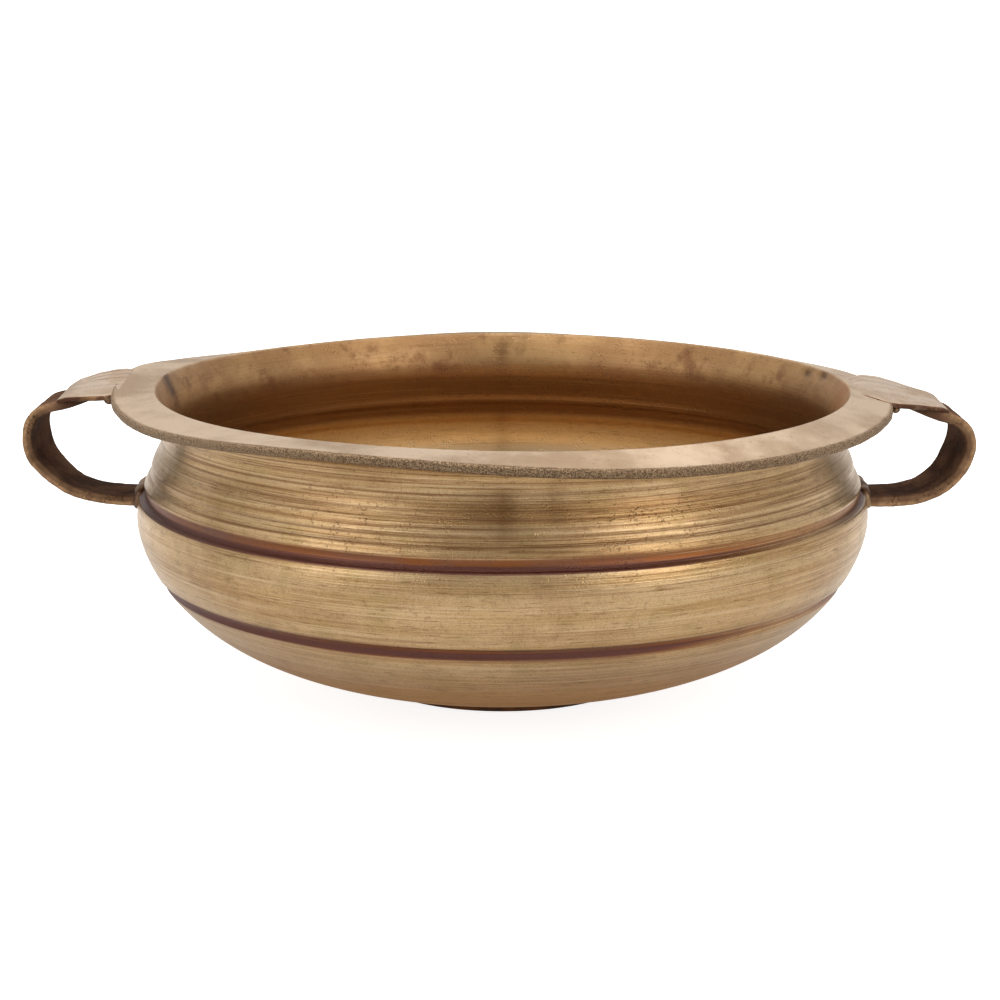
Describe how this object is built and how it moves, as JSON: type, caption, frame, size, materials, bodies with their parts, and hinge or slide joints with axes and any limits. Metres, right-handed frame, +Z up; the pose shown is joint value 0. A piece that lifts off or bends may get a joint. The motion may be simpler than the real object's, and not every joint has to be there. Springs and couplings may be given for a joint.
{
  "type": "urli bowl",
  "caption": "Wide shallow cast brass urli with a flared rim, turned grooves round the belly, a low ring foot and bent strap handles brazed under the rim and to the belly.",
  "frame": {"origin": "on the surface the bowl stands on, under the middle of the bowl", "axes": "+X towards the right handle, whose plate laps over the rim; +Y towards the back; +Z up along the bowl's axis"},
  "size_m": [0.404, 0.33, 0.1284],
  "materials": {
    "turned_brass": "lathe-turned, aged, fine turning lines, brown patina in the grooves",
    "pale_brass": "ground and polished, ribbed",
    "dark_brass": "as cast, dark brown, edges worn to bronze",
    "foot_brass": "turned, dark brown patina",
    "braze": "lumpy braze metal, heat-stained brown"
  },
  "bodies": {
    "root": {"bowl_body": "turned_brass", "foot_ring": "foot_brass", "left_rim_plate": "pale_brass", "right_rim_plate": "pale_brass", "left_handle_strap": "dark_brass", "right_handle_strap": "dark_brass", "left_rim_braze": "braze", "right_rim_braze": "braze", "left_belly_braze": "braze", "right_belly_braze": "braze"}
  },
  "joints": []
}
